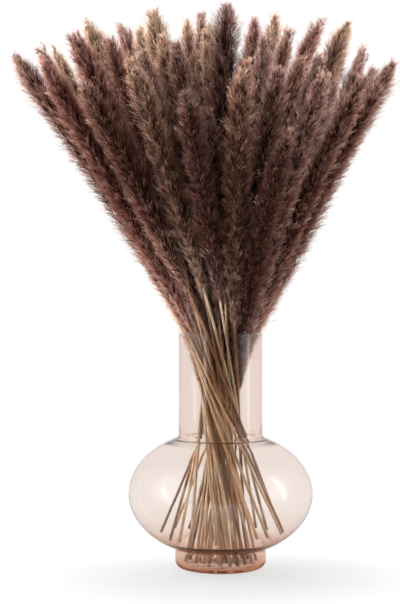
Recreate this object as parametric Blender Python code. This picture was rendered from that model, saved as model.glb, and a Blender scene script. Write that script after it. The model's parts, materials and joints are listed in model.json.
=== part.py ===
"""A bunch of dried, dyed pampas grass standing in a clear glass vase.

Metres, +Z up. The origin is the centre of the vase's flat base, and the bunch is at its fullest
seen from -Y. Each stalk, its stem and its fluffy head, is one solid. The stalks stand twisted in
the neck, so the heads that lean left have their cut ends on the right.
"""

import math
import random
from typing import NamedTuple

import bmesh
import bpy
import numpy as np

MM = 0.001

# Vase: a turned glass with a round foot, an oblate bulb and a straight neck.
VASE_HEIGHT = 190 * MM
VASE_SIDES = 32
WALL = 2.4 * MM
FOOT_RADIUS = 36.7 * MM
FOOT_EDGE = 6.2 * MM
FLOOR_THICKNESS = 5 * MM
BULB_RADIUS = 74.7 * MM
BULB_HALF_HEIGHT = 51 * MM
BULB_CENTRE = 60 * MM
FOOT_SEAM_RADIUS = 37.6 * MM
FOOT_SEAM_HEIGHT = 0.5 * MM
FOOT_EASE = 1.1 * MM
NECK_RADIUS = 33.8 * MM
NECK_FILLET = 4 * MM
RIM_ROUND = 0.9 * MM
EDGE_STEPS = 4
BULB_STEPS = 11
FILLET_STEPS = 3

# Stalks: cut ends on the vase's floor or on the bulb's lower wall, heads from the rim up.
STALK_SIDES = 6
STEM_RADIUS = 1.25 * MM
HEAD_START = 180 * MM
HEAD_START_SLOPE = (-0.12, -0.2)
HEAD_START_SPREAD = 14 * MM
HEAD_SWELL = (0.42, 0.68)
TIP_SHARE = 0.88
TAPER_LENGTH = 80 * MM
DOME_LENGTH = 18 * MM
TUFT_DEPTH = 0.34
RING_HEIGHTS = [z * MM for z in (60, 128, 200, 235, 270, 305, 340, 375, 410)]
TIP_RINGS = (22 * MM, 6 * MM)
RING_SPACE = 14 * MM
STALK_GAP = 0.8 * MM
VASE_GAP = 1 * MM
FLOOR_GAP = 0.3 * MM

# How the bunch is gathered: how far out it reaches on the floor, on the bulb's wall and at the rim.
FOOT_SPREAD = 29.5 * MM
BULB_SPREAD = (44 * MM, 54 * MM)
BULB_SHARE = 0.38
RIM_SPREAD = 28.5 * MM
TWIST_IN_VASE = math.radians(130)
TWIST_ABOVE = math.radians(20)
BEND = 1.35

# How the stalks are eased apart.
LEVEL_SPACE = 5 * MM
EASING_ROUNDS = 500
HOLD_ROUNDS = 300
HOLD = 0.02
STIFFNESS = 0.25
PUSH = 1.6

SEED = 7
TINY = 1e-9
SAME_POINT = 1e-6
FREE_ROOM = 1.0


class Head(NamedTuple):
    """A head's tip, in mm from the centre of the base, its tone, its width in mm and its bend."""

    x: float
    y: float
    z: float
    tone: str
    width: float = 19
    bend: float = BEND


HEADS = (
    # Outer heads, from the left round the front to the right.
    Head(-168, -10, 415, "brown", width=22, bend=1.75),
    Head(-140, -55, 402, "russet"),
    Head(-113, -75, 420, "russet", width=23, bend=1.1),
    Head(-105, -105, 380, "brown", width=20),
    Head(-67, -120, 392, "beige", width=20),
    Head(-27, -135, 368, "mauve", width=19),
    Head(14, -145, 387, "beige", width=20),
    Head(48, -140, 340, "umber"),
    Head(74, -125, 380, "mauve", width=19),
    Head(108, -92, 385, "brown", width=17),
    Head(124, -55, 384, "brown", width=17),
    Head(140, -15, 408, "brown", width=21, bend=1.5),
    # Second ring, in the same order.
    Head(-88, -55, 421, "russet", width=19),
    Head(-62, -82, 405, "mauve"),
    Head(-36, -90, 412, "umber", width=17),
    Head(-13, -95, 361, "umber", width=17),
    Head(44, -90, 395, "umber", width=20),
    Head(77, -65, 406, "umber", width=17),
    Head(91, -28, 393, "mauve", width=19),
    Head(129, 25, 410, "brown", width=17),
    # The middle of the bunch.
    Head(-114, -22, 417, "mauve"),
    Head(-111, 25, 450, "beige", width=20),
    Head(-55, -5, 453, "beige", width=23),
    Head(-48, -45, 425, "beige"),
    Head(4, -30, 450, "umber", width=27),
    Head(36, -42, 426, "mauve", width=17),
    Head(66, -25, 410, "brown"),
    Head(83, 8, 446, "russet", width=17, bend=2.8),
    Head(107, 30, 451, "beige", width=21),
    Head(30, 25, 450, "russet", width=17),
    Head(58, 45, 446, "brown", width=15),
    Head(-10, 12, 442, "beige", width=16),
    Head(-40, 28, 434, "umber"),
    Head(-68, 45, 449, "beige"),
    # The back, from the left to the right.
    Head(-153, 45, 429, "russet", width=16),
    Head(-144, 78, 434, "beige", width=15),
    Head(-112, 72, 440, "umber"),
    Head(-86, 85, 460, "mauve", width=18),
    Head(-100, 118, 415, "brown"),
    Head(-60, 128, 430, "beige"),
    Head(-27, 65, 459, "beige", width=19),
    Head(-45, 85, 438, "brown"),
    Head(-17, 38, 458, "mauve", width=14),
    Head(-8, 152, 410, "mauve"),
    Head(22, 88, 427, "umber"),
    Head(50, 85, 466, "beige", width=17),
    Head(36, 135, 422, "brown"),
    Head(78, 112, 430, "mauve"),
    Head(108, 75, 430, "brown"),
    Head(127, 70, 435, "mauve", width=16),
)

TONES = {
    "brown": (0.115, 0.062, 0.044),
    "umber": (0.062, 0.034, 0.028),
    "russet": (0.125, 0.052, 0.040),
    "mauve": (0.150, 0.088, 0.076),
    "beige": (0.320, 0.215, 0.140),
}
STRAW = (0.50, 0.32, 0.16)
GLASS = (0.97, 0.86, 0.81)


def clear_scene():
    for obj in list(bpy.data.objects):
        bpy.data.objects.remove(obj, do_unlink=True)


def plain_material(name, colour, roughness):
    material = bpy.data.materials.new(name)
    material.use_nodes = True
    shader = material.node_tree.nodes["Principled BSDF"]
    shader.inputs["Base Color"].default_value = (*colour, 1)
    shader.inputs["Roughness"].default_value = roughness
    shader.inputs["Metallic"].default_value = 0
    material.diffuse_color = (*colour, 1)
    return material


def glass_material():
    material = plain_material("glass", GLASS, 0.02)
    shader = material.node_tree.nodes["Principled BSDF"]
    shader.inputs["Transmission Weight"].default_value = 1
    shader.inputs["IOR"].default_value = 1.5
    return material


def add_object(name, bm, materials, location=(0, 0, 0)):
    bmesh.ops.recalc_face_normals(bm, faces=bm.faces)
    for face in bm.faces:
        face.smooth = True
    mesh = bpy.data.meshes.new(name)
    bm.to_mesh(mesh)
    bm.free()
    for material in materials:
        mesh.materials.append(material)
    obj = bpy.data.objects.new(name, mesh)
    obj.location = location
    bpy.context.collection.objects.link(obj)
    return obj


def arc(centre, radius, start, end, steps):
    """Points (r, z) along an arc or, with a pair of radii, an ellipse, angles in radians."""
    across, up = radius if isinstance(radius, tuple) else (radius, radius)
    angles = np.linspace(start, end, steps + 1)
    return [(centre[0] + across * math.cos(a), centre[1] + up * math.sin(a)) for a in angles]


def bulb_angle(radius, across):
    """The angle on the bulb's ellipse, above its middle, where it is this far from the axis."""
    return math.acos(radius / across)


def outer_profile():
    """(r, z) from the middle of the base to the rim, outside."""
    foot_centre = (FOOT_RADIUS - FOOT_EDGE, FOOT_EDGE)
    fillet_radius = NECK_RADIUS + NECK_FILLET
    top = bulb_angle(fillet_radius, BULB_RADIUS)
    bottom = bulb_angle(FOOT_SEAM_RADIUS, BULB_RADIUS)
    bulb = arc((0, BULB_CENTRE), (BULB_RADIUS, BULB_HALF_HEIGHT), -bottom, top, BULB_STEPS)
    seat = (fillet_radius, bulb[-1][1] + NECK_FILLET)
    fillet = arc(seat, NECK_FILLET, 1.5 * math.pi, math.pi, FILLET_STEPS)
    return (
        [(0, 0)]
        + arc(foot_centre, FOOT_EDGE, -0.5 * math.pi, 0, EDGE_STEPS)
        + [(FOOT_RADIUS, bulb[0][1] - FOOT_SEAM_HEIGHT)]
        + bulb
        + fillet[1:]
        + [(NECK_RADIUS, VASE_HEIGHT - RIM_ROUND), (NECK_RADIUS - RIM_ROUND, VASE_HEIGHT)]
    )


def inner_profile():
    """(r, z) from the rim down to the middle of the floor, inside."""
    across, up = BULB_RADIUS - WALL, BULB_HALF_HEIGHT - WALL
    neck, foot = NECK_RADIUS - WALL, FOOT_RADIUS - WALL
    edge = FOOT_EDGE - WALL
    top, bottom = bulb_angle(neck + NECK_FILLET, across), bulb_angle(foot + FOOT_EASE, across)
    bulb = arc((0, BULB_CENTRE), (across, up), top, -bottom, BULB_STEPS)
    seat = (neck + NECK_FILLET, bulb[0][1] + NECK_FILLET)
    fillet = arc(seat, NECK_FILLET, math.pi, 1.5 * math.pi, FILLET_STEPS)
    corner = arc((foot - edge, FLOOR_THICKNESS + edge), edge, 0, -0.5 * math.pi, EDGE_STEPS)
    return (
        [(neck + RIM_ROUND, VASE_HEIGHT), (neck, VASE_HEIGHT - RIM_ROUND)]
        + fillet[:-1]
        + bulb
        + [(foot, bulb[-1][1] - FOOT_EASE)]
        + corner
        + [(0, FLOOR_THICKNESS)]
    )


def make_vase():
    bm = bmesh.new()
    profile = outer_profile() + inner_profile()
    verts = [bm.verts.new((r, 0, z)) for r, z in profile]
    edges = [bm.edges.new(pair) for pair in zip(verts, verts[1:])]
    bmesh.ops.spin(bm, geom=verts + edges, axis=(0, 0, 1), angle=2 * math.pi, steps=VASE_SIDES)
    bmesh.ops.remove_doubles(bm, verts=bm.verts, dist=SAME_POINT)
    return add_object("vase", bm, [glass_material()])


def room_in_vase(heights):
    """How far from the axis the inside of the vase reaches at each height; free above the rim."""
    wall = sorted((z, r) for r, z in inner_profile())
    z, r = np.array(wall).T
    room = np.interp(heights, z, r * math.cos(math.pi / VASE_SIDES))
    return np.where(heights > VASE_HEIGHT + RIM_ROUND, FREE_ROOM, room)


class Stalk:
    """One stalk as a column of level rings: their heights, radii and centres."""

    def __init__(self, head, share, dice):
        self.tip = np.array([head.x, head.y]) * MM
        self.top = head.z * MM
        self.tone = head.tone
        self.bend = head.bend
        self.share = share
        self.head_radius = head.width / 2 * MM
        self.head_start = HEAD_START + self.tip @ HEAD_START_SLOPE
        self.head_start += HEAD_START_SPREAD * dice.uniform(-1, 1)
        self.stem_radius = STEM_RADIUS * dice.uniform(0.86, 1.1)
        self.foot_height, self.foot_spread = self.rest()
        self.heights = self.ring_heights()
        self.radii = np.array([self.radius_at(height) for height in self.heights])
        self.course = self.free_course()
        self.centres = self.course.copy()

    def rest(self):
        """(height, distance from the axis) of the cut end."""
        inner = math.sqrt(1 - BULB_SHARE)
        if self.share < inner:
            return FLOOR_THICKNESS + FLOOR_GAP, FOOT_SPREAD * self.share / inner
        low, high = BULB_SPREAD
        spread = low + (high - low) * (self.share - inner) / (1 - inner)
        across, up = BULB_RADIUS - WALL, BULB_HALF_HEIGHT - WALL
        clear = spread + 2 * self.stem_radius + VASE_GAP
        return BULB_CENTRE - up * math.sqrt(1 - (clear / across) ** 2), spread

    def ring_heights(self):
        own = [self.foot_height, self.head_start, *(self.top - below for below in TIP_RINGS)]
        common = [z for z in RING_HEIGHTS if self.foot_height < z < own[-2]]
        common = [z for z in common if min(abs(z - mine) for mine in own) > RING_SPACE]
        return np.array(sorted(own + common) + [self.top])

    def radius_at(self, height):
        along = (height - self.head_start) / (self.top - self.head_start)
        if along <= 0:
            return self.stem_radius
        below = self.top - height
        full_at, swell_power = HEAD_SWELL
        swell = min(1, along / full_at) ** swell_power
        taper = TIP_SHARE + (1 - TIP_SHARE) * min(1, below / TAPER_LENGTH)
        dome = math.sqrt(min(1, below / DOME_LENGTH))
        return max(self.stem_radius * (1 - along), self.head_radius * swell * taper * dome)

    def free_course(self):
        """Centres that the stalk would take alone: a straight stem, then a bend out to its tip."""
        bearing = math.atan2(self.tip[1], self.tip[0]) + TWIST_ABOVE
        rim = RIM_SPREAD * self.share * np.array([math.cos(bearing), math.sin(bearing)])
        turned = bearing + TWIST_IN_VASE
        foot = self.foot_spread * np.array([math.cos(turned), math.sin(turned)])
        slope = (rim - foot) / (VASE_HEIGHT - self.foot_height)
        above = self.top - VASE_HEIGHT
        bend = self.tip - rim - slope * above
        t = np.clip((self.heights - VASE_HEIGHT) / above, 0, 1)[:, None] ** self.bend
        return rim + slope * (self.heights - VASE_HEIGHT)[:, None] + bend * t

    def slopes(self):
        """How far the stalk leans at each ring, sideways for each unit up."""
        return np.gradient(self.centres, self.heights, axis=0)

    def ease(self, hat, shift, hold):
        """Moves the rings by what their sections were pushed, as a stiff stalk would."""
        self.centres += PUSH * hat.T @ shift / np.maximum(hat.sum(0), 1)[:, None]
        if hold:
            moved = self.centres - self.course
            even = moved.copy()
            even[1:-1] = (moved[:-2] + moved[2:]) / 2
            self.centres += STIFFNESS * (even - moved) - hold * moved


def hat_weights(heights, levels):
    """How much each ring counts in the stalk's section at each level; rows of nothing outside."""
    weights = np.array([np.interp(levels, heights, row) for row in np.eye(len(heights))]).T
    weights[(levels < heights[0]) | (levels > heights[-1])] = 0
    return weights


def push_from_stalks(centres, leans, radii, inside):
    """Half of what each pair of sections lacks in distance, as ellipses drawn out along the lean."""
    apart = centres[:, None] - centres[None]
    distance = np.maximum(np.linalg.norm(apart, axis=3), TINY)
    way = apart / distance[..., None]
    reach = radii[:, None] * np.sqrt(1 + (way * leans[:, None]).sum(3) ** 2)
    both = inside[:, None] & inside[None] & ~np.eye(len(centres), dtype=bool)[:, :, None]
    lack = np.maximum(reach + reach.transpose(1, 0, 2) + STALK_GAP - distance, 0) * both
    return (way * lack[..., None]).sum(1) / 2


def push_from_vase(centres, leans, radii, inside, room):
    out = np.maximum(np.linalg.norm(centres, axis=2), TINY)
    way = centres / out[..., None]
    reach = radii * np.sqrt(1 + (way * leans).sum(2) ** 2)
    over = np.maximum(out + reach + VASE_GAP - room, 0) * inside
    return -way * over[..., None]


def part_stalks(stalks):
    """Moves the rings sideways until no two stalks touch and none touches the vase."""
    levels = np.arange(FLOOR_THICKNESS, max(stalk.top for stalk in stalks), LEVEL_SPACE)
    room = room_in_vase(levels)
    hats = [hat_weights(stalk.heights, levels) for stalk in stalks]
    inside = np.array([hat.sum(1) > 0 for hat in hats])
    radii = np.array([hat @ stalk.radii for hat, stalk in zip(hats, stalks)])
    for turn in range(EASING_ROUNDS):
        centres = np.array([hat @ stalk.centres for hat, stalk in zip(hats, stalks)])
        leans = np.array([hat @ stalk.slopes() for hat, stalk in zip(hats, stalks)])
        shifts = push_from_stalks(centres, leans, radii, inside)
        shifts += push_from_vase(centres, leans, radii, inside, room)
        for stalk, hat, shift in zip(stalks, hats, shifts):
            stalk.ease(hat, shift, HOLD if turn < HOLD_ROUNDS else 0)


def ring_points(stalk, level, turn):
    """A level ring's corners, drawn out along the lean; in the head every other one is drawn in."""
    slope = stalk.slopes()[level]
    lean = np.linalg.norm(slope)
    along = slope / max(lean, TINY)
    tuft = TUFT_DEPTH if stalk.heights[level] > stalk.head_start else 0
    for side in range(STALK_SIDES):
        angle = turn + 2 * math.pi * side / STALK_SIDES
        spoke = np.array([math.cos(angle), math.sin(angle)]) * stalk.radii[level]
        spoke *= 1 - tuft * ((side + level) % 2)
        yield stalk.centres[level] + spoke + along * (spoke @ along) * (math.hypot(1, lean) - 1)


def stalk_mesh(stalk, turn):
    """The stalk's solid about its cut end: straw faces up to the head, then the head's tone."""
    bm = bmesh.new()
    foot = stalk.centres[0]
    rings = []
    for level, height in enumerate(stalk.heights[:-1] - stalk.foot_height):
        points = ring_points(stalk, level, turn)
        rings.append([bm.verts.new((*(point - foot), height)) for point in points])
    tip = bm.verts.new((*(stalk.centres[-1] - foot), stalk.top - stalk.foot_height))
    bm.faces.new(rings[0])
    for side in range(STALK_SIDES):
        after = (side + 1) % STALK_SIDES
        for height, low, high in zip(stalk.heights, rings, rings[1:]):
            face = bm.faces.new((low[side], low[after], high[after], high[side]))
            face.material_index = int(height >= stalk.head_start)
        face = bm.faces.new((rings[-1][side], rings[-1][after], tip))
        face.material_index = 1
    return bm, (*foot, stalk.foot_height)


def gather_stalks(dice):
    """Every stalk, with its share of the bunch's radius from how far out its tip is."""
    order = sorted(HEADS, key=lambda head: math.hypot(head.x, head.y))
    shares = {head: math.sqrt((rank + 0.5) / len(order)) for rank, head in enumerate(order)}
    return [Stalk(head, shares[head], dice) for head in HEADS]


def main():
    clear_scene()
    dice = random.Random(SEED)
    make_vase()
    straw = plain_material("straw", STRAW, 0.55)
    tones = {tone: plain_material(tone, colour, 0.9) for tone, colour in TONES.items()}
    stalks = gather_stalks(dice)
    part_stalks(stalks)
    for number, stalk in enumerate(stalks, 1):
        bm, foot = stalk_mesh(stalk, dice.uniform(0, math.pi))
        add_object(f"grass_stalk_{number:02d}", bm, [straw, tones[stalk.tone]], foot)


main()
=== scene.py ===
"""The looks of a bunch of dried pampas grass in a blush glass vase, dressed round its solids.

Metres, +Z up. Every stalk of the CAD model is replaced by three pieces: a jointed straw stem, the
hairs of its head in tufts, and the close undercoat beneath them. The glass is turned again from the
CAD vase's own outline, with walls as thick as blown glass has.
"""

import json
import math

import bpy
import numpy as np
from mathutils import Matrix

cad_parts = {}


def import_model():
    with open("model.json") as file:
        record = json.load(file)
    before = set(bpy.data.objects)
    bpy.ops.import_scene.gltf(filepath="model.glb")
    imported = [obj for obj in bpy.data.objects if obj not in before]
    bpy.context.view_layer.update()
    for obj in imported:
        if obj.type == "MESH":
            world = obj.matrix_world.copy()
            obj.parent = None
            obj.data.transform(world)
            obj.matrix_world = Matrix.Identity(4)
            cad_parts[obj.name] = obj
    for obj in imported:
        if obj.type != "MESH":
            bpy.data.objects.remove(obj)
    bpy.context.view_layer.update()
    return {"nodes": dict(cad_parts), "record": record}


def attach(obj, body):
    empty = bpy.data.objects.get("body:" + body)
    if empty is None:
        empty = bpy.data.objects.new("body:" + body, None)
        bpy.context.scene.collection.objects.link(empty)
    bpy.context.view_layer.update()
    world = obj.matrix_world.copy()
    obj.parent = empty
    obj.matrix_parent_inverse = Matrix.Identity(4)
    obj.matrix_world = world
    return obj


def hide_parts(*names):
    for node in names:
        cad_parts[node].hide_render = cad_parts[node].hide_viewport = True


MM = 0.001
SEED = 11

# A pair of ranges, such as ((0.03, 0.13), (-0.19, 0.20)), moves the first onto the second and holds
# the value inside it. A longer row of pairs is a line through (place, value) points.

# Camera: level with the middle of the bunch, a little left of the vase.
CAMERA_PLACE = (-0.0166, -1.136, 0.2145)
CAMERA_LENS = 83.6
CAMERA_SENSOR = 36

# Courses: a stalk's middle line and thickness, from level sections of its solid. The head starts
# where the stalk is HEAD_SWELL times as wide as its lowest sections.
SECTIONS = 90
SECTION_INSET = 0.2 * MM
COURSE_EASE = 12
LOWEST_SECTIONS = 10
HEAD_SWELL = 1.5
COURSE_STEP = 2 * MM

# A head's outline: its thickness over the solid's, and how far below the solid's swelling it
# starts, which is further down at the bunch's right (beyond x RIGHT) and less far at its front's
# left (in front of y FRONT and left of x FRONT_RIGHT). The outline is read a little ahead, grows
# over the head's base, and thins towards its tip.
HEAD_FULLNESS = 1.5
HEAD_AHEAD = 2 * MM
HEAD_LEAD = (18 * MM, 36 * MM)
FRONT = -0.07
FRONT_RIGHT = 0.0
FRONT_LEAD = (-16 * MM, 14 * MM)
RIGHT = 0.03
RIGHT_LEAD = (34 * MM, 74 * MM)
BASE_LENGTH = 45 * MM
BASE_SHARE = 0.3
TIP_TAPER = ((0.0, 0.35), (10 * MM, 0.62), (26 * MM, 0.9), (42 * MM, 1.0))
TAPER_SHARE = (0.1, 0.85)

# Sprigs: the loose ends that a head's tip parts into, each shifted aside and lifted as one.
SPRIGS = 7
SPRIG_LENGTH = 30 * MM
SPRIG_EASE = 1.3
SPRIG_SPREAD = (1.5 * MM, 6 * MM)
SPRIG_LIFT = (-9 * MM, 1 * MM)
SPRIG_THINNER = 0.5

# Clumps: how far apart the soft lumps of a head are, how many times they wind round it, and how
# much they change its reach and shade.
CLUMP_WAVES = 6
CLUMP_LENGTH = (9 * MM, 26 * MM)
CLUMP_TURNS = (-3, 4)
CLUMP_REACH = 0.15
CLUMP_SHADE = 0.14

# Tufts: how many there are, closer together towards the tip, and where each is rooted and reaches
# to as shares of the head's reach. Their angles are from the stalk's own direction, by the share of
# the head's length.
TUFTS_PER_M = 7350
THINNER_BASE = 0.8
LAST_TUFT = 3 * MM
GOLDEN_ANGLE = math.radians(137.508)
TUFT_SCATTER = 0.3
TUFT_ROOT = (0.20, 0.50)
TUFT_REACH = (0.68, 1.05)
LEAST_REACH = 2 * MM
TUFT_ANGLE = ((0.0, 0.45, 1.0), np.radians((24, 38, 30)))
ANGLE_SCATTER = (0.75, 1.25)

# Hairs: single triangles, wide at the root or, on blunt ones, at the tip. They grow all along their
# tuft, more of them OUTWARD, and back from its end by HAIR_INSET of their own length. Hairs are
# longer low on a head and shorter where it is narrow. Seeds are short and broad, and awns are the
# long bristles that stand out of the head's lower two thirds, coloured as seeds are.
HAIRS_PER_TUFT = 8
HAIR_SPLAY = ((0.0, 0.5), np.radians((15, 21)))
HAIR_LENGTH = (4.2 * MM, 9.5 * MM)
HAIR_WIDTH = (0.22 * MM, 0.40 * MM)
HAIR_TWIST = 0.6
HAIR_INSET = 0.7
OUTWARD = 0.65
LOW_HAIR_LENGTH = ((0.0, 0.5), (1.35, 1.0))
NARROW_HAIR_LENGTH = ((0.0, 9 * MM), (0.55, 1.0))
LONG_HAIR = 1.6
LONG_HAIR_SHARE = 0.045
BLUNT_SHARE = 0.4
TIP_PROUD = 6 * MM
LEAST_RISE = 0.3
SEED_SHARE = 0.05
SEED_LENGTH = (1.8 * MM, 3.0 * MM)
SEED_WIDTH = (0.40 * MM, 0.6 * MM)
AWNS_PER_HEAD = 10
AWN_LENGTH = (9 * MM, 18 * MM)

# Normals: close to the head's own outward way, so that its hairs are lit as one soft round form.
NORMAL_LIFT = 0.25
TUFT_TURN = 0.28
HAIR_TURN = 0.18

# Shades: 0 is the darkest and 1 the palest. They follow the share of the head's length: paler at
# both ends, partly the plume's own colour and partly painted light, and darker in the middle as
# painted shade. A head whose tip is low is darker towards it, by the tip's height, as painted shade,
# and a head at the bunch's side is paler low down and one near its middle darker, by how far aside
# its tip is, as painted light on the sides and painted shade in the middle.
PALE_AND_LIT_ENDS = ((0.0, 0.54), (0.2, 0.42), (0.4, 0.24), (0.6, 0.26), (0.8, 0.44), (1.0, 0.70))
SHADED_LOW_TIPS = ((0.36, 0.42), (0.45, 0.0))
LIT_SIDES_SHADED_MIDDLE = ((0.03, 0.13), (-0.19, 0.20))
HEAD_SHADE = (-0.14, 0.14)
TUFT_SHADE = 0.28
SHADE_LIMITS = (0.14, 0.96)

# The map that hairs are coloured by: across is the shade, with the seeds below all shades, and
# along is how far out of the head a point is.
SHADE_SCATTER = (-0.03, 0.03)
SEED_PLACES = (0.02, 0.10)
PLACE_WIDTH = 0.006
OUT_OF_HEAD = ((0.30, 1.05), (0.04, 0.96))
TIP_SCATTER = 0.05
MAP_LIMITS = (0.01, 0.99)

# Undercoat: a thin lumpy tube that hides the gaps between the roots of the hairs, dark as painted
# shade.
UNDERCOAT_SHARE = 0.46
UNDERCOAT_SIDES = 10
UNDERCOAT_STEP = 4 * MM
UNDERCOAT_END = 2 * MM
UNDERCOAT_TAPER = 25 * MM
UNDERCOAT_LUMPS = 0.2
UNDERCOAT_BASE = 0.1
LEAST_UNDERCOAT = 0.25 * MM

# Stems: straws that swell at each joint and just above it, and end in a taper inside the head.
STEM_SIDES = 8
STEM_FULLNESS = 1.12
STEM_STEP = 6 * MM
STEM_THINNER = 0.18
STEM_INTO_HEAD = 42 * MM
STEM_TAPER = 40 * MM
STEM_POINT = 0.2
STEM_CUT = 0.5 * MM
MOST_JOINTS = 8
JOINT_SPACE = (62 * MM, 105 * MM)
JOINT_LENGTH = 1.6 * MM
JOINT_ROWS = (-1.5, -0.5, 0, 0.5, 1.5)
JOINT_SWELL = 0.16
SHEATH_SWELL = 0.10
SHEATH_LENGTH = 30 * MM

# Glass: the rows of the turned outline, the hollow under its foot, and the wall in mm by the height
# in mm. Where the outline turns by more than SHARP_TURN it has a corner, and elsewhere a curve.
GLASS_SIDES = 96
GLASS_STEP = 0.4 * MM
SHARP_TURN = math.radians(28)
CORNER_EASE = 4
ROW_TURN = math.radians(5)
ROW_SPACE = 8 * MM
HOLLOW_RADIUS = 29 * MM
HOLLOW_DEPTH = 2.8 * MM
HOLLOW_EASE = 7 * MM
WALLS = (
    (0, 2.2),
    (16, 2.6),
    (22, 1.5),
    (60, 0.95),
    (100, 1.1),
    (108, 2.0),
    (116, 1.5),
    (190, 1.5),
)
ON_PLANE = 0.001 * MM
GLASS_IOR = 1.5
GLASS_TINT = (0.66, 0.27, 0.04)
GLASS_DENSITY = 125

# Tent: how bright the white world is from front to back, from low to high and out to each side.
TENT_FRONT_TO_BACK = ((-0.8, 0.25), (0.03, 1.0))
TENT_LOW_TO_HIGH = ((0.0, 0.9), (1.6, 1.45))
TENT_LEFT = ((-0.9, -0.35), (8.5, 1.0))
TENT_RIGHT = ((0.35, 0.9), (1.0, 5.0))

# The tent in the glass: how bright it is mirrored, and how bright it is seen straight through.
MIRRORED_FRONT_TO_BACK = ((-0.9, 0.1), (0.0, 0.94))
SEEN_THROUGH_GLASS = 0.94
MIRRORED_COLOUR = (1.0, 0.95, 0.93)

# Soft boxes on both sides, which fade out from their middles, and narrow strips beside them.
SOFTBOX_PLACE = (1.3, -0.38, 0.75)
SOFTBOX_TARGET = (0, 0, 0.6)
SOFTBOX_SIZE = (1.5, 2.0)
SOFTBOX_POWER = 10
LIGHT_MIDDLE = (0.5, 0.5, 0)
LIGHT_FADE = ((0.2, 0.5), (1.0, 0.0))
STRIPS = {"strip_left": (-0.93, -0.97, 0.5), "strip_right": (1.34, -0.18, 0.5)}
STRIP_TARGET = (0, 0, 0.3)
STRIP_SIZE = (0.34, 1.7)
STRIP_POWER = 4

# Floor: it glows less near FLOOR_POOL, a painted soft shadow there, and FLOOR_IN_VIEW more
# where it is seen directly. Round the foot its glow is blush to all but direct views, painted light
# as if through the tinted glass, which colours the glass above it. FLOOR_SIDES is a glow out to both
# sides that only diffuse light meets.
FLOOR_SIDE = 0.8
FLOOR_GREY = 0.12
FLOOR_GLOW = ((0.04, 0.17), (0.46, 0.66))
FLOOR_POOL = (0.0, -0.065, 0.0)
FLOOR_BLUSH_LIGHT = (1.0, 0.56, 0.38)
FLOOR_BLUSH_LIGHT_REACH = ((0.04, 0.12), (0.0, 1.0))
FLOOR_SIDES = ((0.15, 0.45), (0.0, 3.0))
FLOOR_IN_VIEW = 0.14

# A head's colours from its middle out to its surface, at the places in COLOUR_PLACES: the hair's
# own colour with painted shade deep inside the head and a painted halo of light at its surface.
COLOUR_PLACES = (0.05, 0.34, 0.60, 0.86)
TONES = {
    "brown": ((0.013, 0.004, 0.002), (0.094, 0.030, 0.018), (0.335, 0.167, 0.126), (0.60, 0.45, 0.38)),
    "umber": ((0.011, 0.004, 0.003), (0.078, 0.030, 0.021), (0.290, 0.156, 0.127), (0.54, 0.41, 0.36)),
    "russet": ((0.016, 0.003, 0.002), (0.110, 0.030, 0.021), (0.360, 0.158, 0.130), (0.62, 0.43, 0.38)),
    "mauve": ((0.016, 0.005, 0.004), (0.118, 0.047, 0.038), (0.390, 0.227, 0.198), (0.64, 0.50, 0.45)),
    "beige": ((0.028, 0.011, 0.006), (0.180, 0.092, 0.058), (0.540, 0.375, 0.270), (0.78, 0.64, 0.51)),
}
# What those colours are multiplied by, for seeds and then from the darkest tufts to the palest.
SEED_SHADES = ((0.0, (0.40, 0.20, 0.16)), (0.11, (0.60, 0.34, 0.26)))
TUFT_SHADES = (
    (0.14, (0.40, 0.26, 0.22)),
    (0.45, (0.94, 0.82, 0.77)),
    (0.70, (1.26, 1.15, 1.10)),
    (0.98, (1.42, 1.37, 1.31)),
)
GOLDEN_TONE = "beige"
GOLDEN_SHADES = (
    (0.14, (0.36, 0.22, 0.20)),
    (0.45, (0.78, 0.60, 0.57)),
    (0.70, (1.14, 1.03, 0.97)),
    (0.98, (1.30, 1.26, 1.20)),
)
TRANSLUCENCY = 0.32
UNDERCOAT_TRANSLUCENCY = 0.1
# The undercoat's dark and light: a place on the ramp, and what a tone's colour is multiplied by,
# which darkens it below the hairs' roots as painted shade deep in the head.
UNDERCOAT_SHADED_DARK = (0.40, 0.5)
UNDERCOAT_SHADED_LIGHT = (0.75, 0.7)
STRAWS = {
    "straw_gold": ((0.29, 0.15, 0.07), (0.80, 0.58, 0.37)),
    "straw_olive": ((0.20, 0.12, 0.06), (0.68, 0.55, 0.38)),
    "straw_brown": ((0.09, 0.04, 0.02), (0.38, 0.21, 0.12)),
}
STRAW_PLACES = (0.38, 0.60)
WHITE = (1.0, 1.0, 1.0)
# Streaks are a noise's stretch, scale and detail, and a finish is a roughness and a specular level.
UNDERCOAT_STREAKS = ((40, 46, 1), 1.0, 5)
STRAW_STREAKS = ((9, 5, 1), 2.2, 4)
HEAD_FINISH = (0.8, 0.1)
STRAW_FINISH = (0.5, 0.1)
FLOOR_FINISH = (0.9, 0)


def unit(vectors):
    return vectors / np.maximum(np.linalg.norm(vectors, axis=-1, keepdims=True), 1e-12)


def turned_towards(start, end, angle):
    """Directions turned by angles from the start ones towards the end ones."""
    return start * np.cos(angle)[:, None] + end * np.sin(angle)[:, None]


def mesh_arrays(obj):
    """The points and edges of an object's mesh."""
    points = np.empty(len(obj.data.vertices) * 3)
    obj.data.vertices.foreach_get("co", points)
    edges = np.empty(len(obj.data.edges) * 2, int)
    obj.data.edges.foreach_get("vertices", edges)
    return points.reshape(-1, 3), edges.reshape(-1, 2)


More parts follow.
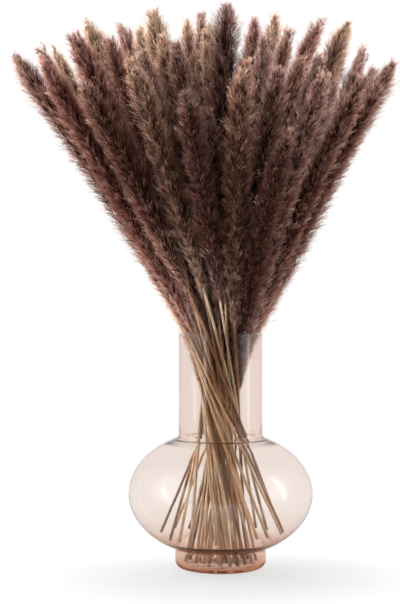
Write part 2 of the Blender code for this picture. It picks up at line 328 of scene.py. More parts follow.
def section(points, edges, height):
    """(x, y, z, area) of a stalk's level section: its middle and its area."""
    low, high = points[edges[:, 0]], points[edges[:, 1]]
    crossing = (low[:, 2] - height) * (high[:, 2] - height) < 0
    low, high = low[crossing], high[crossing]
    share = (height - low[:, 2]) / (high[:, 2] - low[:, 2])
    ring = (low + (high - low) * share[:, None])[:, :2]
    middle = ring.mean(0)
    x, y = (ring - middle)[np.argsort(np.arctan2(*(ring - middle).T))].T
    wedge = x * np.roll(y, -1) - np.roll(x, -1) * y
    shift = np.array([((a + np.roll(a, -1)) * wedge).sum() for a in (x, y)]) / (3 * wedge.sum())
    return (*(middle + shift), height, abs(wedge.sum()) / 2)


class Course:
    """A stalk's middle line and thickness, read from its solid."""

    def __init__(self, node):
        points, edges = mesh_arrays(node)
        low, high = points[:, 2].min(), points[:, 2].max()
        heights = np.linspace(low + SECTION_INSET, high - SECTION_INSET, SECTIONS)
        rows = np.array([section(points, edges, height) for height in heights])
        self.points = rows[:, :3]
        for _ in range(COURSE_EASE):
            self.points[1:-1] = (self.points[:-2] + 2 * self.points[1:-1] + self.points[2:]) / 4
        steps = np.diff(self.points, axis=0)
        lengths = np.linalg.norm(steps, axis=1)
        self.along = np.concatenate([[0], np.cumsum(lengths)])
        self.length = self.along[-1]
        upright = np.interp(self.along, self.along[1:], steps[:, 2] / lengths)
        self.reach = np.sqrt(rows[:, 3] * upright / math.pi)
        self.stem_reach = self.reach[:LOWEST_SECTIONS].mean()
        self.head_start = self.along[np.argmax(self.reach > HEAD_SWELL * self.stem_reach)]
        self.lead = 0

    def begin_head(self, dice):
        """Moves the head's start down, by how far depends on where its tip is in the bunch."""
        x, y = self.points[-1, :2]
        lead = HEAD_LEAD
        if x > RIGHT:
            lead = RIGHT_LEAD
        elif y < FRONT and x < FRONT_RIGHT:
            lead = FRONT_LEAD
        self.lead = dice.uniform(*lead)
        self.head_start -= self.lead

    def at(self, along):
        """Points, directions and two crosswise directions at distances along the stalk."""
        along = np.clip(along, 0, self.length)
        above = self.read(np.minimum(along + COURSE_STEP, self.length))
        below = self.read(np.maximum(along - COURSE_STEP, 0))
        ahead = unit(above - below)
        across = unit(np.cross(ahead, [0.0, 1.0, 0.0]))
        return self.read(along), ahead, across, np.cross(ahead, across)

    def read(self, along):
        """Points of the middle line at distances along it."""
        return np.stack([np.interp(along, self.along, axis) for axis in self.points.T], axis=-1)

    def head_reach(self, along):
        """How far the head reaches out at distances along the stalk, before its tip's taper."""
        share = (along - self.head_start) / (self.length - self.head_start)
        ahead = HEAD_AHEAD + max(0, self.lead) * (1 - share)
        return HEAD_FULLNESS * np.interp(along + ahead, self.along, self.reach)

    def grown(self, along):
        """From 0 at the head's start to 1 where its base has grown to its full reach."""
        return (along - self.head_start) / BASE_LENGTH


def make_piece(name, points, triangles, uv, material, normals=None):
    """A smooth mesh of triangles whose every point has one place on the map that it is coloured by."""
    mesh = bpy.data.meshes.new(name)
    mesh.vertices.add(len(points))
    mesh.vertices.foreach_set("co", np.ascontiguousarray(points, np.float32).ravel())
    mesh.loops.add(triangles.size)
    mesh.loops.foreach_set("vertex_index", triangles.astype(np.int32).ravel())
    mesh.polygons.add(len(triangles))
    mesh.polygons.foreach_set("loop_start", np.arange(0, triangles.size, 3, dtype=np.int32))
    mesh.polygons.foreach_set("use_smooth", np.ones(len(triangles), bool))
    layer = mesh.uv_layers.new(name="OFBake")
    layer.uv.foreach_set("vector", uv[triangles.ravel()].astype(np.float32).ravel())
    mesh.update(calc_edges=True)
    if normals is not None:
        mesh.normals_split_custom_set_from_vertices(normals)
    mesh.materials.append(material)
    obj = bpy.data.objects.new(name, mesh)
    bpy.context.collection.objects.link(obj)
    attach(obj, "root")
    return obj


def tube(centres, across, upright, radii, sides):
    """Points and triangles of a tube round a line of centres, and the angles of its sides."""
    angles = np.linspace(0, 2 * math.pi, sides + 1)
    ring = turned_towards(across[:, None], upright[:, None], angles)
    points = (centres[:, None] + ring * radii[:, None, None]).reshape(-1, 3)
    level, side = np.meshgrid(np.arange(len(centres) - 1), np.arange(sides), indexing="ij")
    a = (level * (sides + 1) + side).ravel()
    b, c = a + 1, a + sides + 1
    triangles = np.concatenate([np.stack([a, b, c + 1], 1), np.stack([a, c + 1, c], 1)])
    return points, triangles, angles


# Heads


def splayed(way, splay, dice):
    """Directions turned aside at random, by up to about a splay."""
    aside = unit(np.cross(way, dice.normal(size=way.shape)))
    return unit(way + aside * np.tan(splay * np.sqrt(dice.uniform(0, 1, len(way))))[:, None])


def clumps(along, turn, dice):
    """A soft noise of about -1 to 1 over a head, in which tufts that are near each other are alike."""
    total = np.zeros(len(along))
    for _ in range(CLUMP_WAVES):
        wave = 2 * math.pi / dice.uniform(*CLUMP_LENGTH)
        around = dice.integers(*CLUMP_TURNS) * turn
        total += np.sin(wave * along + around + dice.uniform(0, 2 * math.pi))
    return total / math.sqrt(CLUMP_WAVES)


class Tufts:
    """The tufts of a head: where each is rooted, which way it leans and how far it reaches."""

    def __init__(self, course, dice):
        span = course.length - course.head_start
        self.count = int(span * TUFTS_PER_M)
        row = np.arange(self.count)
        self.share = ((row + dice.uniform(0, 1, self.count)) / self.count) ** THINNER_BASE
        self.start = course.head_start + (span - LAST_TUFT) * self.share
        self.place, self.ahead, across, upright = course.at(self.start)
        turn = row * GOLDEN_ANGLE + dice.normal(0, TUFT_SCATTER, self.count)
        self.outward = turned_towards(across, upright, turn)

        below_tip = course.length - self.start
        taper = np.interp(below_tip, *zip(*TIP_TAPER))
        reach = course.head_reach(self.start) * (1 - dice.uniform(*TAPER_SHARE) * (1 - taper))
        self.loose = np.clip(1 - below_tip / SPRIG_LENGTH, 0, 1) ** SPRIG_EASE
        self.part_into_sprigs(across, upright, dice)
        reach = reach * (1 - SPRIG_THINNER * self.loose)
        reach = reach * (BASE_SHARE + (1 - BASE_SHARE) * np.clip(course.grown(self.start), 0, 1))
        self.clump = clumps(self.start, turn, dice)
        self.reach = reach * (1 + CLUMP_REACH * self.clump)

        self.inner = self.reach * dice.uniform(*TUFT_ROOT, self.count)
        self.angle = np.interp(self.share, *TUFT_ANGLE) * dice.uniform(*ANGLE_SCATTER, self.count)
        out = self.reach * dice.uniform(*TUFT_REACH, self.count) - self.inner
        self.length = np.maximum(out, LEAST_REACH) / np.sin(self.angle)
        self.way = turned_towards(self.ahead, self.outward, self.angle)

    def part_into_sprigs(self, across, upright, dice):
        """Shifts the tufts near the tip aside and down, with the sprig that each belongs to."""
        sprig = dice.integers(0, SPRIGS, self.count)
        turn = dice.uniform(0, 2 * math.pi, SPRIGS)[sprig]
        spread = self.loose * dice.uniform(*SPRIG_SPREAD, SPRIGS)[sprig]
        self.lift = self.loose * dice.uniform(*SPRIG_LIFT, SPRIGS)[sprig]
        self.place = self.place + turned_towards(across, upright, turn) * spread[:, None]
        self.place = self.place + self.ahead * self.lift[:, None]


class Hairs:
    """The hairs, seeds and awns that a head's tufts are made of."""

    def __init__(self, course, tufts, dice):
        self.course, self.tufts = course, tufts
        self.tuft = np.repeat(np.arange(tufts.count), HAIRS_PER_TUFT)
        self.count = len(self.tuft)
        self.outward = tufts.outward[self.tuft]
        self.is_seed = dice.uniform(size=self.count) < SEED_SHARE * (1 + tufts.loose[self.tuft])
        splay = np.interp(tufts.share, *HAIR_SPLAY)[self.tuft]
        self.way = splayed(tufts.way[self.tuft], splay, dice)
        self.set_lengths(dice)
        tuft_length = tufts.length[self.tuft]
        inset = np.clip(1 - HAIR_INSET * self.length / tuft_length, 0, 1)
        self.along_tuft = tuft_length * (dice.uniform(0, 1, self.count) ** OUTWARD * inset)
        self.root = (
            tufts.place[self.tuft]
            + self.outward * tufts.inner[self.tuft, None]
            + tufts.way[self.tuft] * self.along_tuft[:, None]
        )

    def set_lengths(self, dice):
        """Sets how long each hair is, not far past the head's tip, and picks the awns."""
        tufts, tuft = self.tufts, self.tuft
        length = dice.uniform(*HAIR_LENGTH, self.count)
        length *= np.interp(tufts.share, *LOW_HAIR_LENGTH)[tuft]
        length *= np.interp(tufts.reach, *NARROW_HAIR_LENGTH)[tuft]
        length *= np.where(dice.uniform(size=self.count) < LONG_HAIR_SHARE, LONG_HAIR, 1.0)
        end = self.course.length + TIP_PROUD * dice.uniform(0, 1, self.count)
        room = end - (tufts.start + tufts.lift)[tuft]
        rise = np.maximum((self.way * tufts.ahead[tuft]).sum(1), LEAST_RISE)
        length = np.minimum(length, room / rise)
        self.length = np.where(self.is_seed, dice.uniform(*SEED_LENGTH, self.count), length)
        awns = dice.integers(0, self.count * 2 // 3, AWNS_PER_HEAD)
        self.is_seed[awns] = True
        self.length[awns] = dice.uniform(*AWN_LENGTH, AWNS_PER_HEAD)

    def shapes(self, dice):
        """Points and triangles, one triangle a hair, facing out of the head. Picks the blunt hairs."""
        seed_width = dice.uniform(*SEED_WIDTH, self.count)
        width = np.where(self.is_seed, seed_width, dice.uniform(*HAIR_WIDTH, self.count))
        facing = self.outward + HAIR_TWIST * dice.normal(size=(self.count, 3))
        half = unit(np.cross(facing, self.way)) * width[:, None] / 2
        tip = self.root + self.way * self.length[:, None]
        self.is_blunt = (dice.uniform(size=self.count) < BLUNT_SHARE) & ~self.is_seed
        is_blunt = self.is_blunt[:, None]
        wide, point = np.where(is_blunt, tip, self.root), np.where(is_blunt, self.root, tip)
        points = np.stack([wide - half, wide + half, point], 1).reshape(-1, 3)
        triangles = np.arange(self.count * 3).reshape(-1, 3)
        faces_in = (np.cross(half, point - wide) * self.outward).sum(1) < 0
        triangles[faces_in] = triangles[faces_in][:, ::-1]
        return points, triangles

    def normals(self, dice):
        """A normal for each point, near the way out of the head and alike within a tuft."""
        tufts = self.tufts
        own = tufts.outward + NORMAL_LIFT * tufts.ahead
        own = own + TUFT_TURN * dice.normal(size=(tufts.count, 3))
        own = own[self.tuft] + HAIR_TURN * dice.normal(size=(self.count, 3))
        return np.repeat(unit(own), 3, axis=0)

    def shades(self, dice):
        """Each tuft's shade."""
        tufts = self.tufts
        x, _, height = self.course.points[-1]
        # paler ends partly own colour and partly painted light, darker middle as painted shade
        shade = np.interp(tufts.share, *zip(*PALE_AND_LIT_ENDS))
        # painted shade: a head whose tip is low in the bunch is darker towards it
        shade = shade - tufts.share * np.interp(height, *SHADED_LOW_TIPS)
        # painted light on the bunch's sides low down and painted shade near its middle
        shade = shade + np.interp(np.abs(x), *LIT_SIDES_SHADED_MIDDLE) * (1 - tufts.share)
        shade = shade + dice.uniform(*HEAD_SHADE) + CLUMP_SHADE * tufts.clump
        return np.clip(shade + TUFT_SHADE * dice.uniform(0, 1, tufts.count), *SHADE_LIMITS)

    def map_places(self, dice):
        """Each point's place on the map that hairs are coloured by."""
        tufts, tuft = self.tufts, self.tuft
        shade = self.shades(dice)[tuft]
        seed_place = dice.uniform(*SEED_PLACES, self.count)
        u = np.where(self.is_seed, seed_place, shade + dice.uniform(*SHADE_SCATTER, self.count))
        u = u[:, None] + np.array([-1, 1, 0]) * PLACE_WIDTH

        low = (tufts.inner[tuft] + np.sin(tufts.angle[tuft]) * self.along_tuft) / tufts.reach[tuft]
        high = low + (self.way * self.outward).sum(1) * self.length / tufts.reach[tuft]
        at_root, at_tip = (np.interp(out, *OUT_OF_HEAD) for out in (low, high))
        at_tip = at_tip + dice.normal(0, TIP_SCATTER, self.count)
        at_tip = np.where(self.is_seed, at_root, at_tip)
        wide = np.where(self.is_blunt, at_tip, at_root)
        point = np.where(self.is_blunt, at_root, at_tip)
        v = np.stack([wide, wide, point], 1)
        return np.clip(np.stack([u, v], 2).reshape(-1, 2), *MAP_LIMITS)


def make_head(course, name, material, dice):
    """All the hairs of a head, as one piece."""
    hairs = Hairs(course, Tufts(course, dice), dice)
    points, triangles = hairs.shapes(dice)
    normals = hairs.normals(dice)
    return make_piece(name, points, triangles, hairs.map_places(dice), material, normals)


def make_undercoat(course, name, material, dice):
    """The close down under the hairs, too dense to see between."""
    along = np.arange(course.head_start, course.length - UNDERCOAT_END, UNDERCOAT_STEP)
    place, _, across, upright = course.at(along)
    grown = np.minimum(1, (course.length - along) / UNDERCOAT_TAPER)
    grown = grown * np.clip(course.grown(along), UNDERCOAT_BASE, 1)
    radii = course.head_reach(along) * UNDERCOAT_SHARE * grown
    radii = np.maximum(radii, LEAST_UNDERCOAT)
    radii *= 1 + UNDERCOAT_LUMPS * dice.uniform(-1, 1, len(radii))
    points, triangles, angles = tube(place, across, upright, radii, UNDERCOAT_SIDES)
    u = np.tile(angles / (2 * math.pi), len(along))
    v = np.repeat((along - along[0]) / (along[-1] - along[0]), len(angles))
    return make_piece(name, points, triangles, np.stack([u, v], 1), material)


# Stems


def stem_joints(end, dice):
    """The distances along a stem of its joints."""
    joints = np.cumsum(dice.uniform(*JOINT_SPACE, MOST_JOINTS))
    return joints[joints < end - JOINT_LENGTH]


def make_stem(course, name, straw, dice):
    """A straw that thins upwards and swells at its joints, cut at the foot with a shallow hollow."""
    end = course.head_start + STEM_INTO_HEAD
    joints = stem_joints(end, dice)
    close = (joints[:, None] + np.array(JOINT_ROWS) * JOINT_LENGTH).ravel()
    along = np.unique(np.concatenate([np.arange(0, end, STEM_STEP), close, [end]]))
    place, ahead, across, upright = course.at(along)
    past = along[:, None] - joints
    near = np.abs(past).min(1) / JOINT_LENGTH
    since = np.where(past >= 0, past, 1).min(1) / SHEATH_LENGTH
    radii = STEM_FULLNESS * course.stem_reach * (1 - STEM_THINNER * along / end)
    radii = radii * (1 + JOINT_SWELL * np.exp(-near ** 2) + SHEATH_SWELL * np.exp(-since))
    radii = radii * np.clip((end - along) / STEM_TAPER, STEM_POINT, 1)
    points, triangles, angles = tube(place, across, upright, radii, STEM_SIDES)
    turn = np.tile(angles / (2 * math.pi), len(along))
    rise = np.repeat(along / end, len(angles))

    rim = np.arange(STEM_SIDES)
    foot = np.full(STEM_SIDES, len(points))
    triangles = np.concatenate([triangles, np.stack([rim + 1, rim, foot], 1)])
    points = np.concatenate([points, [place[0] + ahead[0] * STEM_CUT]])
    uv = np.concatenate([np.stack([turn, rise], 1), [[0.5, 0]]])
    return make_piece(name, points, triangles, np.clip(uv, 0, 1), straw)


# Vase


def outline_of(node):
    """(r, z) down the CAD vase's own profile, from the middle of its base round to its floor."""
    points, edges = mesh_arrays(node)
    _, first, same = np.unique(np.round(points, 6), axis=0, return_index=True, return_inverse=True)
    points, edges = points[first], same.ravel()[edges]
    on = (np.abs(points[:, 1]) < ON_PLANE) & (points[:, 0] > -ON_PLANE)
    links = {index: set() for index in np.flatnonzero(on)}
    for a, b in edges:
        if on[a] and on[b] and a != b:
            links[a].add(b)
            links[b].add(a)
    ends = [index for index, near in links.items() if len(near) == 1]
    here = min(ends, key=lambda index: points[index, 2])
    walk = [here]
    while True:
        onward = links[here] - set(walk)
        if not onward:
            return points[walk][:, [0, 2]]
        here = onward.pop()
        walk.append(here)


def curve(before, start, end, after):
    """Points of a smooth curve from one point towards the next, which is left out."""
    gap = np.linalg.norm(end - start)
    out = (end - before) / np.linalg.norm(end - before) * gap
    into = (after - start) / np.linalg.norm(after - start) * gap
    steps = max(1, int(gap / GLASS_STEP))
    t = (np.arange(steps) / steps)[:, None]
    ends = start * (1 + 2 * t) * (1 - t) ** 2 + end * t * t * (3 - 2 * t)
    return ends + out * t * (1 - t) ** 2 + into * t * t * (t - 1)


def rounded(outline):
    """The outline with curves through its points, kept sharp where it turns a corner."""
    turns = np.diff(np.unwrap(np.arctan2(*np.diff(outline, axis=0).T[::-1])))
    sharp = [0, *(np.flatnonzero(np.abs(turns) > SHARP_TURN) + 1), len(outline) - 1]
    curves = []
    for low, high in zip(sharp, sharp[1:]):
        run = outline[low:high + 1]
        run = np.concatenate([[2 * run[0] - run[1]], run, [2 * run[-1] - run[-2]]])
        curves += [curve(*four) for four in zip(run, run[1:], run[2:], run[3:])]
    return np.concatenate([*curves, outline[-1:]])


def hollowed(line):
    """The outside of the vase with a shallow hollow raised under its foot."""
    line = line.copy()
    under = slice(np.argmax(line[:, 0] > HOLLOW_RADIUS))
    rise = np.clip((HOLLOW_RADIUS - line[under, 0]) / HOLLOW_EASE, 0, 1)
    line[under, 1] += HOLLOW_DEPTH * (1 - np.cos(math.pi * rise)) / 2
    return line


def blown(outline):
    """The outline with its inside moved out to the thickness of blown glass: thin where it is wide."""
    rim = np.argmax(outline[:, 1])
    line, inside = hollowed(outline[:rim + 1]), outline[rim + 1:]
    steps = np.diff(line, axis=0)
    share = ((inside[:, None] - line[:-1]) * steps).sum(2) / (steps ** 2).sum(1)
    feet = line[:-1] + np.clip(share, 0, 1)[..., None] * steps
    nearest = np.linalg.norm(feet - inside[:, None], axis=2).argmin(1)
    feet = feet[np.arange(len(inside)), nearest]
    wall = np.interp(feet[:, 1], *np.array(WALLS).T * MM)
    return np.concatenate([line, feet + unit(inside - feet) * wall[:, None]])


def eased(outline):
    """The outline with its corners eased, in rows that are closer where it bends more."""
    outline = outline.copy()
    for _ in range(CORNER_EASE):
        outline[1:-1] = (outline[:-2] + 2 * outline[1:-1] + outline[2:]) / 4
    steps = np.diff(outline, axis=0)
    bend = np.abs(np.diff(np.unwrap(np.arctan2(steps[:, 1], steps[:, 0]))))
    rate = bend / ROW_TURN + np.linalg.norm(steps[1:], axis=1) / ROW_SPACE
    rows = np.cumsum(rate).astype(int)
    picked = np.flatnonzero(np.diff(rows, prepend=0)) + 1
    return outline[[0, *picked[picked < len(outline) - 2], len(outline) - 1]]


def turned_round(outline):
    """Points and triangles of an outline turned round the axis that both its ends lie on."""
    angles = np.linspace(0, 2 * math.pi, GLASS_SIDES, endpoint=False)
    r, z = outline[1:-1].T[:, :, None]
    rings = np.stack(np.broadcast_arrays(r * np.cos(angles), r * np.sin(angles), z), 2)
    low, high = ([r, 0, z] for r, z in outline[[0, -1]])
    points = np.concatenate([[low], rings.reshape(-1, 3), [high]])

    level, side = np.meshgrid(np.arange(len(rings) - 1), np.arange(GLASS_SIDES), indexing="ij")
    row, after = 1 + level * GLASS_SIDES, (side + 1) % GLASS_SIDES
    a, b = (row + side).ravel(), (row + after).ravel()
    c, d = a + GLASS_SIDES, b + GLASS_SIDES
    rim = np.arange(GLASS_SIDES)
    next_rim = (rim + 1) % GLASS_SIDES
    first, last = np.zeros_like(rim), np.full_like(rim, len(points) - 1)
    top = last - GLASS_SIDES
    triangles = np.concatenate([
        np.stack([a, b, d], 1),
        np.stack([a, d, c], 1),
        np.stack([first, 1 + next_rim, 1 + rim], 1),
        np.stack([last, top + rim, top + next_rim], 1),
    ])
    return points, triangles


def make_vase(node, material):
    """The glass, turned again from the CAD vase's outline."""
    points, triangles = turned_round(eased(blown(rounded(outline_of(node)))))
    turn = np.arctan2(points[:, 1], points[:, 0]) / (2 * math.pi) + 0.5
    uv = np.stack([turn, points[:, 2]], 1)
    return make_piece("vase_glass", points, triangles, uv, material)


# Nodes that the materials, the lights and the world share


def fill(socket, value):
    """Links a socket's input to another socket, or sets it to a number or a colour."""
    if isinstance(value, bpy.types.NodeSocket):
        socket.id_data.links.new(value, socket)
    elif isinstance(value, (int, float)):
        socket.default_value = value
    else:
        socket.default_value = (*value, 1)


def mix_colours(nodes, way, factor, first, second):
    mix = nodes.new("ShaderNodeMix")
    mix.data_type = "RGBA"
    mix.blend_type = way
    for socket, value in zip((mix.inputs[0], mix.inputs[6], mix.inputs[7]), (factor, first, second)):
        fill(socket, value)
    return mix.outputs[2]


def mix_numbers(nodes, factor, first, second):
    mix = nodes.new("ShaderNodeMix")
    for socket, value in zip((mix.inputs[0], mix.inputs[2], mix.inputs[3]), (factor, first, second)):
        fill(socket, value)
    return mix.outputs[0]


def calculate(nodes, way, *values):
    node = nodes.new("ShaderNodeMath")
    node.operation = way
    for socket, value in zip(node.inputs, values):
        fill(socket, value)
    return node.outputs[0]


def map_range(nodes, value, old, new):
    """A socket's value moved from an old range to a new one, held inside it."""
    node = nodes.new("ShaderNodeMapRange")
    for name, number in zip(("From Min", "From Max", "To Min", "To Max"), (*old, *new)):
        fill(node.inputs[name], number)
    fill(node.inputs["Value"], value)
    return node.outputs[0]


def distance(nodes, place, point):
    """How far a place is from a point."""
    node = nodes.new("ShaderNodeVectorMath")
    node.operation = "DISTANCE"
    node.inputs[1].default_value = point
    fill(node.inputs[0], place)
    return node.outputs["Value"]


def axes_of(nodes, place):
    """The three coordinates of a place, as output sockets."""
    split = nodes.new("ShaderNodeSeparateXYZ")
    fill(split.inputs[0], place)
    return split.outputs["X"], split.outputs["Y"], split.outputs["Z"]


def ramp(nodes, factor, stops):
    """The colour of a ramp, given as (position, colour) stops."""
    node = nodes.new("ShaderNodeValToRGB")
    fill(node.inputs[0], factor)
    elements = node.color_ramp.elements
    while len(elements) > 1:
        elements.remove(elements[-1])
    elements[0].position = stops[0][0]
    elements[0].color = (*stops[0][1], 1)
    for position, colour in stops[1:]:
        elements.new(position).color = (*colour, 1)
    return node.outputs[0]


def streaks(nodes, place, stretch, scale, detail):
    """A noise on the piece's own map, stretched."""
    mapping = nodes.new("ShaderNodeMapping")
    mapping.inputs["Scale"].default_value = stretch
    fill(mapping.inputs[0], place)
    texture = nodes.new("ShaderNodeTexNoise")
    fill(texture.inputs["Scale"], scale)
    fill(texture.inputs["Detail"], detail)
    fill(texture.inputs["Vector"], mapping.outputs[0])
    return texture.outputs["Fac"]


def own_map(nodes):
    """A point's place on the piece's own map."""
    place = nodes.new("ShaderNodeUVMap")
    place.uv_map = "OFBake"
    return place.outputs["UV"]


# Materials


def new_material(name):
    material = bpy.data.materials.new(name)
    material.use_nodes = True
    nodes = material.node_tree.nodes
    return material, nodes, nodes["Principled BSDF"], nodes["Material Output"]


def set_surface(shader, colour, finish):
    fill(shader.inputs["Base Color"], colour)
    fill(shader.inputs["Roughness"], finish[0])
    fill(shader.inputs["Specular IOR Level"], finish[1])


def soft_surface(nodes, shader, output, colour, translucency):
    """A dull surface of this colour that lets some of the light through it."""
    set_surface(shader, colour, HEAD_FINISH)
    glow = nodes.new("ShaderNodeBsdfTranslucent")
    fill(glow.inputs["Color"], colour)
    blend = nodes.new("ShaderNodeMixShader")
    fill(blend.inputs[0], translucency)
    fill(blend.inputs[1], shader.outputs[0])
    fill(blend.inputs[2], glow.outputs[0])
    fill(output.inputs["Surface"], blend.outputs[0])


def hair_material(tone, colours):
    """Dark inside the head and pale at its surface, as painted shade and a painted halo over the hair's
    own colour; a shade of its own for each tuft; red seeds.
    """
    material, nodes, shader, output = new_material(f"pampas_{tone}")
    shade, out, _ = axes_of(nodes, own_map(nodes))
    # painted shade deep in the head and a painted halo of light at its surface
    depth = ramp(nodes, out, list(zip(COLOUR_PLACES, colours)))
    tufts = GOLDEN_SHADES if tone == GOLDEN_TONE else TUFT_SHADES
    tint = ramp(nodes, shade, SEED_SHADES + tufts)
    colour = mix_colours(nodes, "MULTIPLY", 1.0, depth, tint)
    soft_surface(nodes, shader, output, colour, TRANSLUCENCY)
    return material


def undercoat_material(tone, colours):
    """Fine streaks along the head, from the dark of the hairs' roots to their middle shade, darkened as
    painted shade deep in the head.
    """
    material, nodes, shader, output = new_material(f"undercoat_{tone}")
    factor = streaks(nodes, own_map(nodes), *UNDERCOAT_STREAKS)
    stops = [
        (place, [strength * channel for channel in colour])
        for (place, strength), colour in zip((UNDERCOAT_SHADED_DARK, UNDERCOAT_SHADED_LIGHT), colours)
    ]
    soft_surface(nodes, shader, output, ramp(nodes, factor, stops), UNDERCOAT_TRANSLUCENCY)
    return material


def straw_material(name, dark, light):
    """Dry straw, streaked along the stem."""
    material, nodes, shader, _ = new_material(name)
    factor = streaks(nodes, own_map(nodes), *STRAW_STREAKS)
    colour = ramp(nodes, factor, list(zip(STRAW_PLACES, (dark, light))))
    set_surface(shader, colour, STRAW_FINISH)
    return material


def glass_material():
    """Clear glass that is blush where light passes through much of it."""
    material, nodes, shader, output = new_material("blush_glass")
    fill(shader.inputs["Base Color"], WHITE)
    fill(shader.inputs["Roughness"], 0)
    fill(shader.inputs["IOR"], GLASS_IOR)
    fill(shader.inputs["Transmission Weight"], 1)
    tint = nodes.new("ShaderNodeVolumeAbsorption")
    fill(tint.inputs["Color"], GLASS_TINT)
    fill(tint.inputs["Density"], GLASS_DENSITY)
    fill(output.inputs["Volume"], tint.outputs[0])
    return material


# Studio


def add_camera():
    camera = bpy.data.objects.new("camera", bpy.data.cameras.new("camera"))
    camera.data.lens = CAMERA_LENS
    camera.data.sensor_width = CAMERA_SENSOR
    camera.location = CAMERA_PLACE
    camera.rotation_euler = (math.pi / 2, 0, 0)
    bpy.context.scene.collection.objects.link(camera)
    bpy.context.scene.camera = camera


def add_light(name, place, target, size, power):
    """An area light that is brightest in its middle."""
    light = bpy.data.lights.new(name, "AREA")
    light.shape = "RECTANGLE"
    light.size, light.size_y = size
    light.energy = power
    light.use_nodes = True
    nodes = light.node_tree.nodes
    on_light = nodes.new("ShaderNodeNewGeometry").outputs["Parametric"]
    strength = map_range(nodes, distance(nodes, on_light, LIGHT_MIDDLE), *LIGHT_FADE)
    fill(nodes["Emission"].inputs["Strength"], strength)
    obj = bpy.data.objects.new(name, light)
    obj.location = place
    way = np.array(target) - np.array(place)
    lean = math.acos(-way[2] / np.linalg.norm(way))
    obj.rotation_euler = (lean, 0, math.atan2(way[1], way[0]) - math.pi / 2)
    bpy.context.scene.collection.objects.link(obj)


def add_lights():
    x, y, z = SOFTBOX_PLACE
    add_light("left", (-x, y, z), SOFTBOX_TARGET, SOFTBOX_SIZE, SOFTBOX_POWER)
    add_light("right", (x, y, z), SOFTBOX_TARGET, SOFTBOX_SIZE, SOFTBOX_POWER)
    for name, place in STRIPS.items():
        add_light(name, place, STRIP_TARGET, STRIP_SIZE, STRIP_POWER)


def floor_material():
    """Pale grey, with a glow of its own that keeps it white round a painted soft shadow, and blush
    painted light round the foot.
    """
    material, nodes, shader, _ = new_material("floor")
    set_surface(shader, (FLOOR_GREY, FLOOR_GREY, FLOOR_GREY), FLOOR_FINISH)
    place = nodes.new("ShaderNodeTexCoord").outputs["Object"]
    rays = nodes.new("ShaderNodeLightPath").outputs
    white = map_range(nodes, distance(nodes, place, (0, 0, 0)), *FLOOR_BLUSH_LIGHT_REACH)
    white = calculate(nodes, "MAXIMUM", white, rays["Is Camera Ray"])
    # blush painted light round the foot, as if through the tinted glass
    fill(shader.inputs["Emission Color"], mix_colours(nodes, "MIX", white, FLOOR_BLUSH_LIGHT, WHITE))
    glow = map_range(nodes, distance(nodes, place, FLOOR_POOL), *FLOOR_GLOW)
    aside = calculate(nodes, "ABSOLUTE", axes_of(nodes, place)[0])
    sides = map_range(nodes, aside, *FLOOR_SIDES)
    glow = calculate(nodes, "MULTIPLY_ADD", sides, rays["Is Diffuse Ray"], glow)
    glow = calculate(nodes, "MULTIPLY_ADD", rays["Is Camera Ray"], FLOOR_IN_VIEW, glow)
    fill(shader.inputs["Emission Strength"], glow)
    return material


def add_floor():
    mesh = bpy.data.meshes.new("floor")
    side = FLOOR_SIDE
    corners = [(-side, -side, 0), (side, -side, 0), (side, side, 0), (-side, side, 0)]
    mesh.from_pydata(corners, [], [(0, 1, 2, 3)])
    mesh.materials.append(floor_material())
    floor = bpy.data.objects.new("floor", mesh)
    bpy.context.collection.objects.link(floor)


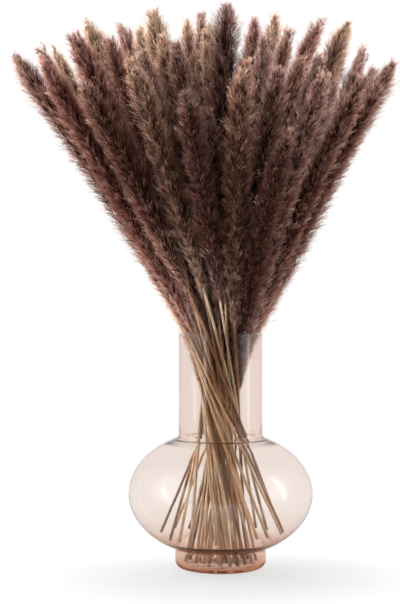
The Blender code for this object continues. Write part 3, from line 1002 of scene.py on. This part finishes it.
def add_world():
    """A white tent that lights the bunch and the floor, bright at the sides and dim in front.

    Seen directly it is plain white. In the glass it has a brightness of its own, both where it is
    seen straight through and where it is mirrored.
    """
    world = bpy.data.worlds.new("studio")
    bpy.context.scene.world = world
    world.use_nodes = True
    nodes = world.node_tree.nodes
    x, y, z = axes_of(nodes, nodes.new("ShaderNodeTexCoord").outputs["Generated"])
    depth = map_range(nodes, y, *TENT_FRONT_TO_BACK)
    height = map_range(nodes, z, *TENT_LOW_TO_HIGH)
    left = map_range(nodes, x, *TENT_LEFT)
    right = map_range(nodes, x, *TENT_RIGHT)
    sides = calculate(nodes, "MULTIPLY", left, right)
    tent = calculate(nodes, "MULTIPLY", depth, height)
    tent = calculate(nodes, "MULTIPLY", tent, sides)

    rays = nodes.new("ShaderNodeLightPath").outputs
    is_direct = calculate(nodes, "LESS_THAN", rays["Diffuse Depth"], 0.5)
    is_clear = calculate(nodes, "LESS_THAN", rays["Glossy Depth"], 0.5)
    mirrored = map_range(nodes, y, *MIRRORED_FRONT_TO_BACK)
    through = calculate(nodes, "MULTIPLY", is_clear, SEEN_THROUGH_GLASS)
    seen = calculate(nodes, "MAXIMUM", through, mirrored)
    seen = calculate(nodes, "MAXIMUM", rays["Is Camera Ray"], seen)
    background = nodes["Background"]
    colour = mix_colours(nodes, "MIX", is_clear, MIRRORED_COLOUR, WHITE)
    fill(background.inputs["Color"], colour)
    fill(background.inputs["Strength"], mix_numbers(nodes, is_direct, tent, seen))


# The bunch


def dress_stalk(node, name, hairs, undercoat, straws):
    """Replaces a stalk by its stem, its head and its undercoat."""
    dice = np.random.default_rng([SEED, int(name[-2:])])
    course = Course(node)
    course.begin_head(dice)
    pieces = (
        make_stem(course, f"{name}_stem", straws[dice.integers(len(straws))], dice),
        make_head(course, f"{name}_head", hairs, dice),
        make_undercoat(course, f"{name}_undercoat", undercoat, dice),
    )
    for piece in pieces:
        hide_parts(name)


def dress_vase(node):
    """Replaces the vase by its glass."""
    vase = make_vase(node, glass_material())
    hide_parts("vase")


def main():
    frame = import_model()
    add_camera()
    add_world()
    add_floor()
    add_lights()
    bpy.context.scene.view_settings.view_transform = "Standard"

    slots = {row["node"]: row["material_slot"] for row in frame["record"]["subparts"]}
    hairs = {tone: hair_material(tone, colours) for tone, colours in TONES.items()}
    undercoats = {tone: undercoat_material(tone, colours) for tone, colours in TONES.items()}
    straws = [straw_material(name, *colours) for name, colours in STRAWS.items()]
    for name, node in sorted(frame["nodes"].items()):
        if name != "vase":
            slot = slots[name]
            dress_stalk(node, name, hairs[slot], undercoats[slot], straws)
    dress_vase(frame["nodes"]["vase"])


main()
